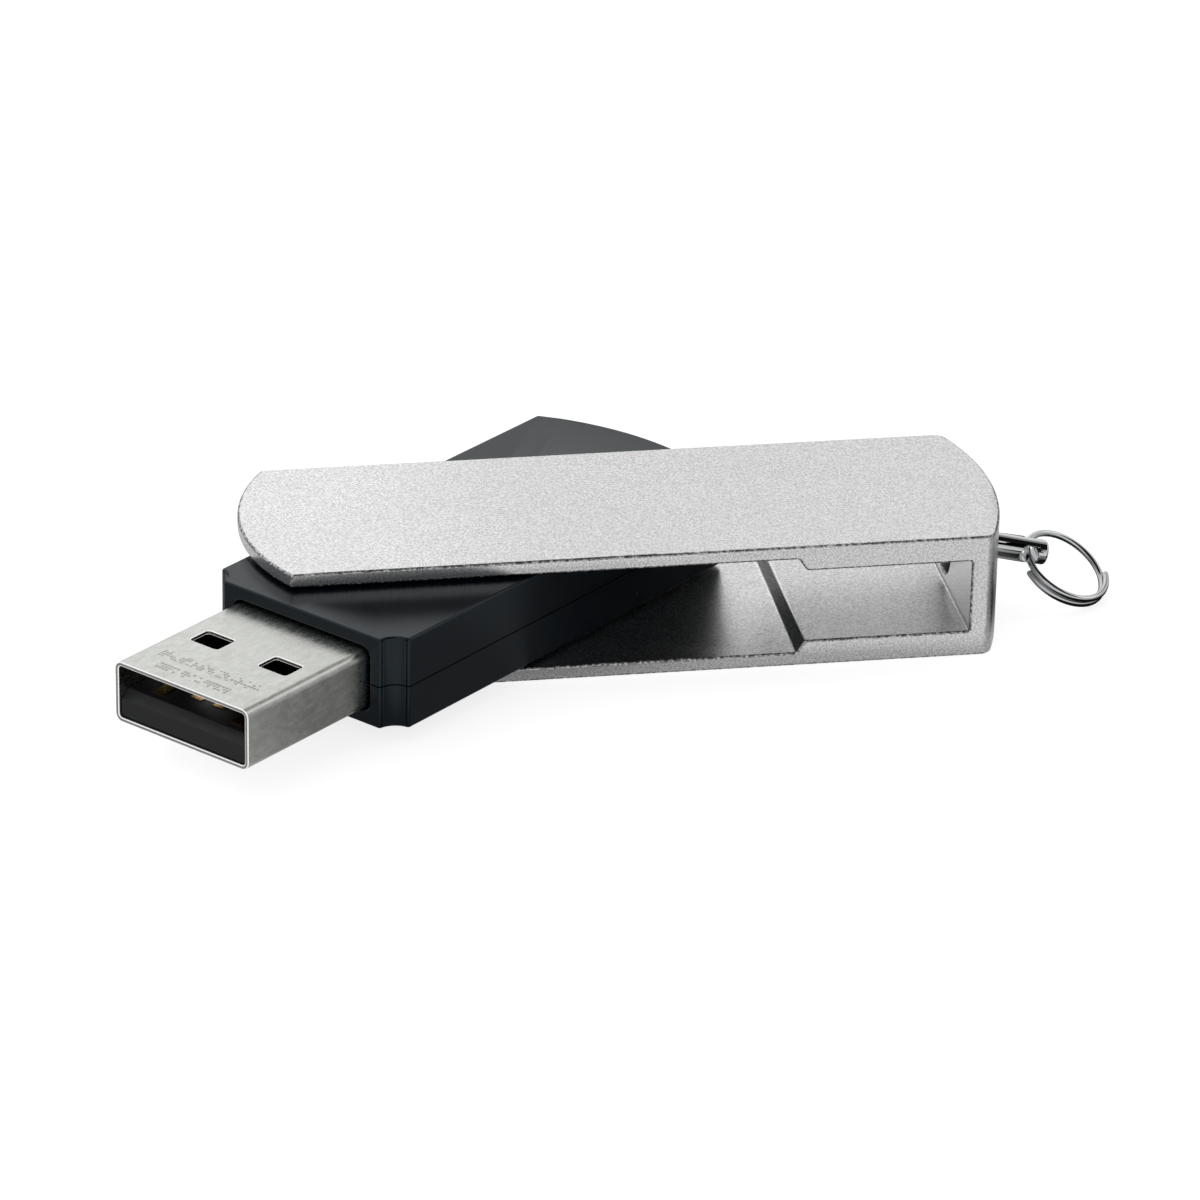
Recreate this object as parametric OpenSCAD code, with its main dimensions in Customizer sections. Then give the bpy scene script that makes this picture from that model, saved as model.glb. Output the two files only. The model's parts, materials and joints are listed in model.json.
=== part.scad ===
// Swivel USB flash drive.
// An aluminium cover of two parallel plates joined at one end turns about a
// black two-part body that carries the USB plug. A loose post in the closed
// end of the cover holds a small split ring.
// Origin: the swivel axis, on the cover's lower face. +X points to the closed
// end of the cover, +Z up. The drive is drawn swung out of its cover.

/* [Cover] */
// Width of the cover across Y
cover_w = 17.6; // [15:0.1:21.5]
// Thickness of the two thin plates
plate_t = 1.0; // [0.8:0.05:1.2]
// Swivel axis to the round open end
open_r = 16.2; // [13:0.1:19.4]
// Swivel axis to the foot of the step where the plates thicken
bay_x = 22.0; // [18.5:0.1:26.5]
// Length of the sloped face of the step along X
step_run = 0.6; // [0.3:0.1:1]
// Fillet radius on the step and in the inner corners
step_fillet = 0.35; // [0.1:0.05:0.45]
// Thickness of the end wall in its middle
end_t = 3.3; // [2.8:0.1:4]
// Radius of the rounded closed end
closed_r = 22.5; // [18:0.5:27]
// Corner radius where the closed end meets the sides
corner_r = 1.0; // [0.5:0.1:1.5]

/* [Swivel] */
// Angle the drive is swung from closed, as drawn
swing = -138.3; // [-180:0.1:180]
// Gap between the body and each plate
plate_gap = 0.2; // [0.1:0.05:0.4]
// Radius of the pivot bosses on the body
boss_r = 3.0; // [2:0.1:4]
// Height of each pivot boss above the body
boss_h = 0.65; // [0.4:0.05:0.7]
// Radial running clearance of a boss in its recess
boss_clear = 0.05; // [0.03:0.01:0.1]
// Gap between the end of a boss and the floor of its recess
boss_end_gap = 0.1; // [0.05:0.05:0.15]

/* [Body] */
// How far each side of the body lies inside the cover's edge
side_inset = 0.25; // [0.1:0.05:0.5]
// Gap between the swinging body and the step
swing_gap = 1.8; // [1:0.1:3]
// How far the front corners stay inside the swing circle
front_inset = 0.4; // [0.2:0.1:1]
// Gap between the plug shell and the body's top and bottom walls
head_room = 0.25; // [0.2:0.05:0.5]
// Wall of the top and bottom
skin_t = 0.9; // [0.7:0.05:1.1]
// Wall of the sides and the round rear end
side_t = 1.2; // [0.9:0.1:1.5]
// Wall of the flat front end round the plug
front_t = 1.6; // [1.3:0.1:2]
// Radius of the round flutes cut down the two front corners
flute_r = 1.4; // [1:0.1:1.5]
// Drop of the seam below the middle of the body
seam_drop = 0.2; // [0:0.05:0.4]
// Width of the fine groove along the seam, into the wall
seam_groove_w = 0.15; // [0.1:0.05:0.3]
// Height of the seam groove taken from each shell
seam_groove_h = 0.05; // [0.02:0.01:0.1]
// Radius of the locating pegs
peg_r = 0.5; // [0.4:0.05:0.6]
// Depth of a peg below the seam
peg_len = 1.1; // [0.8:0.1:1.2]
// Clearance round a peg and under its end
peg_clear = 0.02; // [0.01:0.01:0.05]
// Radius of the pillars that hold the pegs
pillar_r = 0.95; // [0.85:0.05:1.05]
// Gap between a pillar and the circuit board
pillar_gap = 0.2; // [0.1:0.05:0.3]
// Thickness of the ribs that clamp the circuit board
rib_t = 0.8; // [0.6:0.1:1]

/* [Plug] */
// Width of the plug shell
plug_w = 12.0; // [12:0.1:12.2]
// Height of the plug shell
plug_h = 4.5; // [4.4:0.05:4.6]
// Wall of the plug shell
plug_t = 0.3; // [0.25:0.01:0.35]
// Outer corner radius of the plug shell
plug_corner = 0.6; // [0.45:0.05:0.8]
// Length of the plug outside the body
plug_out = 12.2; // [11.7:0.1:12.6]
// Length of the plug shell inside the body
plug_in = 6.0; // [5:0.1:7]
// Gap round the plug in the body's front wall
plug_gap = 0.15; // [0.05:0.05:0.2]
// Gap between the plug and the thick plates when closed
bay_gap = 0.45; // [0.2:0.05:0.6]
// Gap between the sweep of the plug's tip and the end wall
tip_gap = 3.7; // [2:0.1:5]
// Body front to the near edge of the latch windows
window_x = 4.6; // [4:0.1:5.5]
// Length of a latch window along the plug
window_l = 1.95; // [1.8:0.05:2.5]
// Width of a latch window
window_w = 2.55; // [2.3:0.05:2.7]
// Corner radius of a latch window
window_r = 0.3; // [0.1:0.05:0.5]
// Middle of a latch window from the centre line
window_y = 3.08; // [2.9:0.01:3.3]
// Thickness of the plastic tongue
tongue_t = 1.9; // [1.7:0.05:2]
// Gap between the plastic and the plug shell
slide = 0.02; // [0.01:0.01:0.05]
// Set-back of the tongue behind the rim
tongue_back = 0.25; // [0.1:0.05:0.6]
// Height of the sloped lead-in on the tongue
lead_in_h = 0.6; // [0.3:0.1:0.9]
// Length of the sloped lead-in on the tongue
lead_in_l = 0.7; // [0.4:0.1:1.2]
// Length of the insulator block behind the tongue
block_l = 3.3; // [2.5:0.1:4]
// Width of one contact
contact_w = 1.0; // [0.9:0.05:1.1]
// Thickness of a contact
contact_t = 0.2; // [0.15:0.01:0.25]
// Height of a contact above the tongue
contact_proud = 0.05; // [0.02:0.01:0.1]
// Outer contacts from the centre line
outer_pitch = 3.5; // [3.4:0.05:3.6]
// Inner contacts from the centre line
inner_pitch = 1.0; // [0.95:0.05:1.05]
// Tongue tip to the front of the two outer contacts
outer_back = 1.3; // [1:0.1:1.6]
// Tongue tip to the front of the two inner contacts
inner_back = 2.3; // [2:0.1:2.6]

/* [Circuit board] */
// Thickness of the circuit board
board_t = 0.8; // [0.6:0.1:1]
// Gap between the board's edge and the side walls
board_gap = 0.35; // [0.2:0.05:0.5]
// Gap between the board's rear edge and the rear wall
board_rear_gap = 1.0; // [0.8:0.1:1.5]
// Length of a contact's tail on the board
tail_l = 2.2; // [1.8:0.1:2.4]
// Length of the shell's side tabs along the board
tab_l = 2.5; // [2:0.1:2.8]
// Height of the shell's side tabs
tab_h = 1.6; // [1.4:0.1:2]
// Length of the flash chip's case
flash_l = 18.4; // [15:0.1:18.4]
// Width of the flash chip's case
flash_w = 12.0; // [10:0.1:12]
// Height of the flash chip's case
flash_t = 1.0; // [0.8:0.05:1.1]
// Side of the controller chip's square case
control_w = 7.0; // [5:0.1:7]
// Height of the controller chip's case
control_t = 1.0; // [0.8:0.05:1.1]
// Gap between a chip's case and the board
chip_lift = 0.1; // [0.05:0.01:0.15]
// Spacing of the chips' leads
lead_pitch = 0.5; // [0.5:0.05:0.65]
// Width of one lead
lead_w = 0.22; // [0.15:0.01:0.26]
// Thickness of one lead
lead_t = 0.13; // [0.1:0.01:0.15]
// Reach of the flash chip's leads beyond its case
flash_reach = 0.8; // [0.6:0.05:0.9]
// Reach of the controller's leads beyond its case
control_reach = 1.0; // [0.8:0.05:1.1]

/* [Key ring] */
// Radius of the post
post_r = 0.9; // [0.8:0.05:1]
// Length of the post outside the closed end
post_out = 4.3; // [3.8:0.1:5]
// Droop of the loose post below level
droop = 13; // [0:0.5:15]
// Radius of the post's head inside the cover
head_r = 1.6; // [1.4:0.05:1.7]
// Thickness of the post's head
head_t = 0.8; // [0.6:0.05:0.85]
// Depth of the recess for the head
cbore_d = 1.6; // [1.5:0.05:1.7]
// Least gap round the post and its head
post_play = 0.06; // [0.04:0.01:0.1]
// Turn of the post about its own axis, as drawn
post_turn = 12; // [0:1:20]
// Radius of the cross hole
cross_r = 0.68; // [0.65:0.01:0.7]
// Cross hole to the end of the post
cross_end = 1.4; // [1.3:0.05:1.6]
// How far the ring's wire sits below the middle of the cross hole
wire_sag = 0.12; // [0:0.01:0.12]
// Radius of the ring's wire
wire_r = 0.25; // [0.2:0.01:0.26]
// Radius of the ring to the middle of its wire
ring_r = 3.2; // [3:0.05:4]
// Turns of wire in the ring
ring_turns = 1.45; // [1.3:0.05:1.6]
// Gap between the ring's coils
coil_gap = 0.02; // [0.01:0.01:0.05]
// Angle from the cross hole to the free end of the lower coil
ring_start = 28; // [24:1:35]
// Slope of the ring down from the post, as drawn
ring_pitch = 25.3; // [20:0.1:26]
// Roll of the ring about its own length, as drawn
ring_roll = 20; // [0:0.5:22]

/* [Hidden] */

round_fn = 96;      // round features
fine_fn = 48;       // small pegs and holes
eps = 0.01;         // overshoot of a cut past a face

// Heights. The plug sets the body's height, and the body sets the cover's.
body_h = plug_h + 2 * (head_room + skin_t);
cover_h = body_h + 2 * (plate_gap + plate_t);
mid_z = cover_h / 2;
body_z0 = plate_t + plate_gap;
body_z1 = cover_h - body_z0;
seam_z = mid_z - seam_drop;
plug_z0 = mid_z - plug_h / 2;
tongue_z0 = plug_z0 + plug_t;
tongue_z1 = tongue_z0 + tongue_t;
contact_z0 = tongue_z1 + contact_proud - contact_t;
board_z1 = contact_z0;
board_z0 = board_z1 - board_t;

// Lengths along the drive, from the swivel axis towards the plug
body_half = cover_w / 2 - side_inset;
body_r = bay_x - swing_gap;
front_x = sqrt(body_r * body_r - body_half * body_half) - front_inset;
tip_x = front_x + plug_out;
plug_rear_x = front_x - plug_in;
tongue_tip_x = tip_x - tongue_back;
block_x0 = plug_rear_x + 0.5;
block_x1 = block_x0 + block_l;
neck_x = plug_rear_x - tab_l - 0.2;
inner_half = body_half - side_t;
inner_r = body_r - side_t;
board_half = inner_half - board_gap;
neck_half = plug_w / 2 - plug_t - 0.05;
board_rear_x = -sqrt(inner_r * inner_r - board_half * board_half) + board_rear_gap;
rib_xs = [board_rear_x + rib_t, neck_x - rib_t];
peg_y = inner_half - pillar_r + 0.3;
peg_in = pillar_r + 0.8;
peg_xs = [board_rear_x + peg_in, neck_x - peg_in];

// Chips: middle of each along the board
flash_x = (peg_xs[0] + peg_xs[1]) / 2 - 0.4;
control_x = neck_x - rib_t * 2 - control_w / 2 - control_reach - 0.4;

// Cover
thick_t = (cover_h - plug_h) / 2 - bay_gap;
wall_x = norm([tip_x, plug_w / 2]) + tip_gap;
end_x = wall_x + end_t;
recess_r = boss_r + boss_clear;
recess_d = boss_h - plate_gap + boss_end_gap;

// Post and ring. The post tilts in the middle of its hole.
tilt_x = (wall_x + cbore_d + end_x) / 2;
hole_half = (end_x - wall_x - cbore_d) / 2;
post_hole_r = post_r / cos(droop) + hole_half * tan(droop) + post_play;
head_s = (hole_half + head_r * sin(droop) + post_play) / cos(droop);
cbore_r = head_r * cos(droop) + (head_s + head_t) * sin(droop) + post_play;
post_end = (end_x - tilt_x) / cos(droop) + post_out;
cross_s = post_end - cross_end;
ring_lift = coil_pitch() * (1 - ring_start / 360 - ring_turns / 2);

function coil_pitch() = 2 * wire_r + coil_gap;

// Points of an arc about c from angle a to angle b
function arc(c, r, a, b, n) =
    [for (i = [0:n]) c + r * [cos(a + (b - a) * i / n), sin(a + (b - a) * i / n)]];

// Arc points that round the corner at p between the points before and after it
function corner(before, p, after, r, n = 6) =
    let (u = (before - p) / norm(before - p),
         v = (after - p) / norm(after - p),
         half = acos(u * v) / 2,
         c = p + (u + v) / norm(u + v) * r / sin(half),
         s = p + u * r / tan(half) - c,
         e = p + v * r / tan(half) - c,
         a = atan2(s.y, s.x),
         turn = atan2(s.x * e.y - s.y * e.x, s * e))
    arc(c, r, a, a + turn, n);

// A closed outline with each corner rounded by its own radius, 0 for sharp
function rounded(pts, radii) =
    let (n = len(pts))
    [for (i = [0:n - 1])
        each radii[i] > 0
            ? corner(pts[(i + n - 1) % n], pts[i], pts[(i + 1) % n], radii[i])
            : [pts[i]]];

// ---- Cover ----

// Side view of the cover: two plates that thicken at a step and join in a wall
module cover_profile() {
    far = end_x + 1;
    near = -open_r - 1;
    step_top = bay_x + step_run;
    lower = [[near, 0], [far, 0], [far, cover_h], [near, cover_h],
             [near, cover_h - plate_t], [bay_x, cover_h - plate_t],
             [step_top, cover_h - thick_t], [wall_x, cover_h - thick_t],
             [wall_x, thick_t], [step_top, thick_t],
             [bay_x, plate_t], [near, plate_t]];
    f = step_fillet;
    polygon(rounded(lower, [0, 0, 0, 0, 0, f, f, f / 2, f / 2, f, f, 0]));
}

// Top view of the cover: a round open end and a flatter round closed end
module cover_plan() {
    half = cover_w / 2;
    arc_x = end_x - closed_r;
    fillet_y = half - corner_r;
    fillet_x = arc_x + sqrt(pow(closed_r - corner_r, 2) - fillet_y * fillet_y);
    tangent_y = closed_r * fillet_y / (closed_r - corner_r);
    intersection() {
        circle(r = open_r, $fn = round_fn * 2);
        translate([-open_r, -half]) square([open_r, cover_w]);
    }
    translate([-eps, -half]) square([fillet_x + eps, cover_w]);
    intersection() {
        translate([arc_x, 0]) circle(r = closed_r, $fn = round_fn * 2);
        translate([fillet_x - 1, -tangent_y]) square([closed_r, tangent_y * 2]);
    }
    for (side = [-1, 1])
        translate([fillet_x, side * fillet_y]) circle(r = corner_r, $fn = fine_fn);
}

// One extruded aluminium piece with two blind pivot recesses and a post hole
module cover() {
    color("silver") difference() {
        intersection() {
            linear_extrude(cover_h) cover_plan();
            translate([0, cover_w, 0]) rotate([90, 0, 0])
                linear_extrude(cover_w * 2) cover_profile();
        }
        translate([0, 0, plate_t - recess_d])
            cylinder(r = recess_r, h = recess_d + eps, $fn = round_fn);
        translate([0, 0, cover_h - plate_t - eps])
            cylinder(r = recess_r, h = recess_d + eps, $fn = round_fn);
        translate([wall_x - eps, 0, mid_z]) rotate([0, 90, 0])
            cylinder(r = cbore_r, h = cbore_d + eps, $fn = fine_fn);
        translate([wall_x, 0, mid_z]) rotate([0, 90, 0])
            cylinder(r = post_hole_r, h = end_t + 1, $fn = fine_fn);
    }
}

// ---- Body ----

// Top view of the body: flat front, round rear, flutes at the front corners
module body_plan(shrink = 0) {
    half = body_half - shrink;
    difference() {
        intersection() {
            circle(r = body_r - shrink, $fn = round_fn * 2);
            translate([-body_r, -half]) square([body_r + front_x - shrink, half * 2]);
        }
        for (side = [-1, 1])
            translate([front_x, side * body_half])
                circle(r = flute_r + shrink, $fn = fine_fn);
    }
}

// Top view of the hollow inside the body
module hollow_plan() {
    intersection() {
        circle(r = inner_r, $fn = round_fn * 2);
        translate([-body_r, -inner_half])
            square([body_r + front_x - front_t, inner_half * 2]);
    }
}

module plug_opening() {
    translate([front_x - front_t - eps, 0, mid_z])
        plug_block(front_t + 1, plug_gap);
}

// Places children at the four locating pegs, mirrored so that +X points to the
// nearer end of the circuit board and +Y to the side wall
module at_pegs() {
    for (end = [0, 1], side = [0, 1])
        translate([peg_xs[end], 0, 0]) mirror([1 - end, 0, 0]) mirror([0, side, 0])
            translate([0, peg_y, 0]) children();
}

// Ribs across the body between two heights, clear of the board's parts
module ribs(z0, z1) {
    for (x = rib_xs)
        translate([x - rib_t / 2, -neck_half + 1, z0])
            cube([rib_t, neck_half * 2 - 2, z1 - z0]);
}

module seam_groove(z0) {
    translate([0, 0, z0]) linear_extrude(seam_groove_h) difference() {
        translate([-body_r - 1, -body_half - 1])
            square([body_r * 2 + 2, body_half * 2 + 2]);
        body_plan(seam_groove_w);
    }
}

module lower_shell() {
    rotate([0, 0, swing]) color("#1d2024") difference() {
        union() {
            difference() {
                translate([0, 0, body_z0]) linear_extrude(seam_z - body_z0) body_plan();
                translate([0, 0, body_z0 + skin_t])
                    linear_extrude(seam_z - body_z0) hollow_plan();
                plug_opening();
            }
            translate([0, 0, body_z0 - boss_h])
                cylinder(r = boss_r, h = boss_h + skin_t / 2, $fn = round_fn);
            at_pegs() translate([0, 0, body_z0 + skin_t / 2])
                cylinder(r = pillar_r, h = seam_z - body_z0 - skin_t / 2, $fn = fine_fn);
            ribs(body_z0 + skin_t / 2, board_z0);
        }
        at_pegs() translate([0, 0, seam_z - peg_len - peg_clear])
            cylinder(r = peg_r + peg_clear, h = peg_len + 1, $fn = fine_fn);
        seam_groove(seam_z - seam_groove_h);
    }
}

module upper_shell() {
    rotate([0, 0, swing]) color("#262b31") difference() {
        union() {
            difference() {
                translate([0, 0, seam_z]) linear_extrude(body_z1 - seam_z) body_plan();
                translate([0, 0, seam_z - skin_t])
                    linear_extrude(body_z1 - seam_z) hollow_plan();
                plug_opening();
            }
            translate([0, 0, body_z1 - skin_t / 2])
                cylinder(r = boss_r, h = boss_h + skin_t / 2, $fn = round_fn);
            at_pegs() translate([0, 0, seam_z])
                cylinder(r = pillar_r, h = body_z1 - seam_z - skin_t / 2, $fn = fine_fn);
            at_pegs() translate([0, 0, seam_z - peg_len])
                cylinder(r = peg_r, h = peg_len + skin_t, $fn = fine_fn);
            ribs(board_z1, body_z1 - skin_t / 2);
        }
        seam_groove(seam_z);
    }
}

// ---- Plug ----

// A bar of the plug's outline along +X, grown by extra on every side
module plug_block(length, extra = 0) {
    w = plug_w + extra * 2;
    h = plug_h + extra * 2;
    r = plug_corner + extra;
    rotate([90, 0, 90]) linear_extrude(length) union() {
        translate([-w / 2 + r, -h / 2]) square([w - r * 2, h]);
        translate([-w / 2, -h / 2 + r]) square([w, h - r * 2]);
        for (sy = [-1, 1], sz = [-1, 1])
            translate([sy * (w / 2 - r), sz * (h / 2 - r)]) circle(r = r, $fn = fine_fn);
    }
}

// Outline of one latch window, with round corners
module window_outline() {
    r = window_r;
    translate([0, r]) square([window_l, window_w - r * 2]);
    translate([r, 0]) square([window_l - r * 2, window_w]);
    for (x = [r, window_l - r], y = [r, window_w - r])
        translate([x, y]) circle(r = r, $fn = fine_fn);
}

// Folded steel shell with two latch windows above and below, and side tabs
module plug_shell() {
    rotate([0, 0, swing]) color("#cfd2cb") union() {
        difference() {
            translate([plug_rear_x, 0, mid_z]) plug_block(plug_in + plug_out);
            translate([plug_rear_x - 1, 0, mid_z])
                plug_block(plug_in + plug_out + 2, -plug_t);
            for (side = [-1, 1])
                translate([front_x + window_x, side * window_y - window_w / 2, plug_z0 - 1])
                    linear_extrude(plug_h + 2) window_outline();
        }
        for (side = [-1, 1])
            translate([plug_rear_x - tab_l, side * (plug_w - plug_t) / 2 - plug_t / 2,
                       (board_z0 + board_z1 - tab_h) / 2])
                cube([tab_l + eps, plug_t, tab_h]);
    }
}

// Side view of the tongue, with its sloped lead-in
module tongue_profile() {
    polygon([[block_x0, tongue_z0], [tongue_tip_x, tongue_z0],
             [tongue_tip_x, tongue_z1 - lead_in_h],
             [tongue_tip_x - lead_in_l, tongue_z1], [block_x0, tongue_z1]]);
}

contact_rows = [
    [outer_pitch, outer_back], [inner_pitch, inner_back],
    [-inner_pitch, inner_back], [-outer_pitch, outer_back]
];

// Moulded block that fills the shell, with a tongue in the lower half in front.
// The tongue's lower corners follow the shell's inner corners.
module plug_insulator() {
    rotate([0, 0, swing]) color("#15171a") difference() {
        union() {
            intersection() {
                translate([0, plug_w / 2, 0]) rotate([90, 0, 0])
                    linear_extrude(plug_w) tongue_profile();
                translate([block_x0, 0, mid_z])
                    plug_block(tip_x - block_x0, -plug_t - slide);
            }
            translate([block_x0, 0, mid_z]) plug_block(block_l, -plug_t - slide);
        }
        for (row = contact_rows)
            translate([block_x0 - 1, row[0] - contact_w / 2, contact_z0])
                cube([tongue_tip_x - row[1] - block_x0 + 1, contact_w, contact_t]);
    }
}

// A flat spring contact from the tongue back to its pad on the board
module contact(row) {
    x0 = block_x0 - tail_l;
    x1 = tongue_tip_x - row[1];
    rotate([0, 0, swing]) color("gold")
        translate([x0, row[0] - contact_w / 2, contact_z0])
            cube([x1 - x0, contact_w, contact_t]);
}

module contact_power() { contact(contact_rows[0]); }
module contact_data_minus() { contact(contact_rows[1]); }
module contact_data_plus() { contact(contact_rows[2]); }
module contact_ground() { contact(contact_rows[3]); }

// ---- Circuit board ----

// Wide board with a neck into the plug and corners cut away round the pillars
module circuit_board() {
    notch_r = pillar_r + pillar_gap;
    deep = board_t + 2;
    rotate([0, 0, swing]) color("darkgreen") difference() {
        union() {
            translate([board_rear_x, -board_half, board_z0])
                cube([neck_x - board_rear_x, board_half * 2, board_t]);
            translate([neck_x - 1, -neck_half, board_z0])
                cube([block_x0 - neck_x + 1, neck_half * 2, board_t]);
        }
        at_pegs() translate([0, 0, board_z0 - 1]) {
            cylinder(r = notch_r, h = deep, $fn = fine_fn);
            translate([0, -notch_r, 0]) cube([peg_in + eps, notch_r * 2, deep]);
        }
    }
}

// Solder that fixes the two side tabs to the board's neck
module board_solder() {
    bead = 0.35;
    rotate([0, 0, swing]) color("#b9bcc0")
        for (side = [-1, 1])
            translate([plug_rear_x - tab_l + 0.2, side * neck_half, board_z1])
                rotate([90, 0, 90]) linear_extrude(tab_l - 0.4)
                    polygon([[0, 0], [-side * bead * 2, 0], [0, bead]]);
}

// Side view of one gull-wing lead: out of the case, down, and onto the board
module lead_profile(reach, lift) {
    t = lead_t;
    polygon([[0, lift], [reach * 0.35, lift], [reach * 0.55, t], [reach * 0.55, 0],
             [reach, 0], [reach, t], [reach * 0.7, t],
             [reach * 0.45, lift + t], [0, lift + t]]);
}

// A row of leads along Y that point to +X
module lead_row(count, reach, lift) {
    for (i = [0:count - 1])
        translate([0, (i - (count - 1) / 2) * lead_pitch + lead_w / 2, 0])
            rotate([90, 0, 0]) linear_extrude(lead_w) lead_profile(reach, lift);
}

// Chip case with its lower edges and upper edges drawn in, as moulded
module chip_case(l, w, t) {
    draft = 0.12;
    intersection() {
        translate([0, w / 2, 0]) rotate([90, 0, 0]) linear_extrude(w)
            polygon([[-l / 2 + draft, 0], [l / 2 - draft, 0], [l / 2, t / 2],
                     [l / 2 - draft, t], [-l / 2 + draft, t], [-l / 2, t / 2]]);
        translate([-l / 2, 0, 0]) rotate([90, 0, 90]) linear_extrude(l)
            polygon([[-w / 2 + draft, 0], [w / 2 - draft, 0], [w / 2, t / 2],
                     [w / 2 - draft, t], [-w / 2 + draft, t], [-w / 2, t / 2]]);
    }
}

module on_top(x, y = 0) {
    rotate([0, 0, swing]) translate([x, y, board_z1]) children();
}

module underneath(x, y = 0) {
    rotate([0, 0, swing]) translate([x, y, board_z0]) mirror([0, 0, 1]) children();
}

module flash_chip() {
    color("#1a1a1c") on_top(flash_x) translate([0, 0, chip_lift])
        chip_case(flash_l, flash_w, flash_t);
}

module flash_chip_leads() {
    count = floor((flash_w - 0.5) / lead_pitch) + 1;
    color("#c8c8c8") on_top(flash_x)
        for (turn = [0, 180])
            rotate([0, 0, turn]) translate([flash_l / 2, 0, 0])
                lead_row(count, flash_reach, chip_lift + flash_t / 2 - lead_t);
}

module controller_chip() {
    color("#1a1a1c") underneath(control_x) translate([0, 0, chip_lift])
        chip_case(control_w, control_w, control_t);
}

module controller_leads() {
    count = floor((control_w - 1.5) / lead_pitch) + 1;
    color("#c8c8c8") underneath(control_x)
        for (turn = [0:90:270])
            rotate([0, 0, turn]) translate([control_w / 2, 0, 0])
                lead_row(count, control_reach, chip_lift + control_t / 2 - lead_t);
}

crystal_size = [5.0, 3.2, 1.0];
regulator_size = [1.6, 2.9, 1.0];
crystal_x = control_x - control_w / 2 - control_reach - crystal_size.x / 2 - 1.6;
regulator_x = crystal_x - crystal_size.x / 2 - 3.2;

// Sealed quartz crystal: a flat can with a rim
module crystal() {
    rim = 0.3;
    color("#b8bcc0") underneath(crystal_x) {
        translate([-crystal_size.x / 2, -crystal_size.y / 2, 0])
            cube([crystal_size.x, crystal_size.y, rim]);
        translate([-crystal_size.x / 2 + rim, -crystal_size.y / 2 + rim, 0])
            cube([crystal_size.x - rim * 2, crystal_size.y - rim * 2, crystal_size.z]);
    }
}

module voltage_regulator() {
    color("#1a1a1c") underneath(regulator_x) translate([0, 0, chip_lift])
        chip_case(regulator_size.x, regulator_size.y, regulator_size.z);
}

// Two leads on one side and one on the other
module regulator_leads() {
    reach = 0.6;
    lift = chip_lift + regulator_size.z / 2 - lead_t;
    w = 0.4;
    color("#c8c8c8") underneath(regulator_x) {
        for (y = [-0.95, 0.95])
            translate([regulator_size.x / 2, y + w / 2, 0]) rotate([90, 0, 0])
                linear_extrude(w) lead_profile(reach, lift);
        rotate([0, 0, 180]) translate([regulator_size.x / 2, w / 2, 0])
            rotate([90, 0, 0]) linear_extrude(w) lead_profile(reach, lift);
    }
}

// Small chip capacitors and resistors in rows beside the larger parts
module capacitors() {
    color("tan") for (side = [-1, 1]) {
        for (x = [crystal_x - 1.2, crystal_x + 1.2])
            underneath(x, side * (crystal_size.y / 2 + 1.2))
                translate([-0.4, -0.8, 0]) cube([0.8, 1.6, 0.8]);
        underneath(regulator_x, side * (regulator_size.y / 2 + 1.4))
            translate([-0.8, -0.4, 0]) cube([1.6, 0.8, 0.8]);
    }
}

module resistors() {
    color("#222222") for (side = [-1, 1], k = [0, 1])
        underneath(control_x + control_w / 2 + control_reach * 0.2 + 0.8 * k - 1.2,
                   side * (control_w / 2 + control_reach + 0.7))
            translate([-0.25, -0.5, 0]) cube([0.5, 1.0, 0.35]);
}

// ---- Post and ring ----

// Moves to the middle of the post's hole with +X along the drooping post
module at_post() {
    translate([tilt_x, 0, mid_z]) rotate([0, droop, 0]) rotate([post_turn, 0, 0]) children();
}

module ring_post() {
    bevel = 0.15;
    back = -head_s - head_t;
    color("#d8dadc") at_post() difference() {
        rotate([0, 90, 0]) rotate_extrude($fn = round_fn)
            polygon([[0, back], [head_r - bevel, back], [head_r, back + bevel],
                     [head_r, -head_s], [post_r, -head_s], [post_r, post_end - bevel],
                     [post_r - bevel, post_end], [0, post_end]]);
        translate([cross_s, 0, 0]) rotate([90, 0, 0])
            cylinder(r = cross_r, h = post_r * 4, center = true, $fn = fine_fn);
    }
}

// Middle of the wire at angle a from the cross hole, with the hole at the origin
function ring_point(a) =
    [ring_r - ring_r * cos(a), -ring_r * sin(a), coil_pitch() * (a - 360) / 360];

// Helix of wire swept with a round section
module ring_coil() {
    sides = 16;
    steps = round(56 * ring_turns);
    span = ring_turns * 360;
    rings = [for (i = [0:steps])
        let (a = ring_start + span * i / steps,
             out = [-cos(a), -sin(a), 0])
        [for (k = [0:sides - 1])
            ring_point(a) + wire_r * (out * cos(360 * k / sides)
                                      + [0, 0, sin(360 * k / sides)])]];
    faces = [
        for (i = [0:steps - 1], k = [0:sides - 1])
            [i * sides + k, i * sides + (k + 1) % sides,
             (i + 1) * sides + (k + 1) % sides, (i + 1) * sides + k]
    ];
    first = [for (k = [sides - 1:-1:0]) k];
    last = [for (k = [0:sides - 1]) steps * sides + k];
    polyhedron([for (ring = rings) each ring], concat(faces, [first, last]));
}

module split_ring() {
    color("#d8dadc")
        translate([tilt_x + cross_s * cos(droop), 0, mid_z - cross_s * sin(droop) - wire_sag])
            rotate([ring_roll, ring_pitch, 0]) ring_coil();
}

cover();
upper_shell();
lower_shell();
plug_shell();
plug_insulator();
contact_power();
contact_data_minus();
contact_data_plus();
contact_ground();
circuit_board();
board_solder();
flash_chip();
flash_chip_leads();
controller_chip();
controller_leads();
crystal();
voltage_regulator();
regulator_leads();
capacitors();
resistors();
ring_post();
split_ring();
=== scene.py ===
# %% [markdown]
# # A swivel USB flash drive
#
# An aluminium cover of two joined plates turns about a black plastic body that
# carries a metal plug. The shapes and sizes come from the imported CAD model, and
# this lesson gives them their looks: rounded edges, fine grain, wear and light.
# All lengths are in metres, and +Z is up.

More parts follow.
